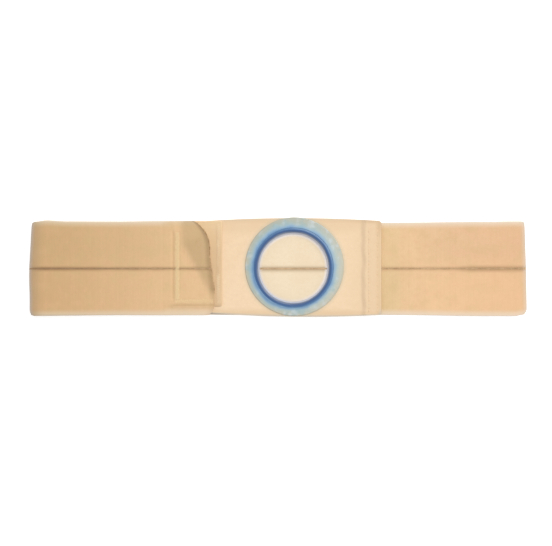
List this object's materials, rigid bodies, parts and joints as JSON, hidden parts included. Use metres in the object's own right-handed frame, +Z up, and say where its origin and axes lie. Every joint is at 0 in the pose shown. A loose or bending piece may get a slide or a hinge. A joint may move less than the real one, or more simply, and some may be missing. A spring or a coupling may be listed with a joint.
{
  "type": "ostomy support belt",
  "caption": "Wide elastic support belt closed into a flat loop, with a soft front panel, a ring-lined round opening for an ostomy pouch and a hook tab under a curled finger pull.",
  "frame": {"origin": "middle of the belt's outline, on the surface that it lies on", "axes": "+X along the belt from the finger pull to the panel's sewn end, +Y across the belt to the pull's free corner, +Z up from the surface"},
  "size_m": [0.5366, 0.1069, 0.0247],
  "materials": {
    "elastic": "tan woven elastic with fine cross ribs and paler selvages",
    "panel_cloth": "pale brushed loop cloth",
    "tab_cloth": "tan plain cloth",
    "deep_blue_vinyl": "soft glossy dark blue",
    "pale_blue_vinyl": "soft glossy translucent pale blue"
  },
  "bodies": {
    "root": {"elastic_upper": "elastic", "elastic_lower": "elastic", "front_panel": "panel_cloth", "closure_tab": "tab_cloth", "ring_bead": "deep_blue_vinyl", "ring_flange": "pale_blue_vinyl"}
  },
  "joints": []
}
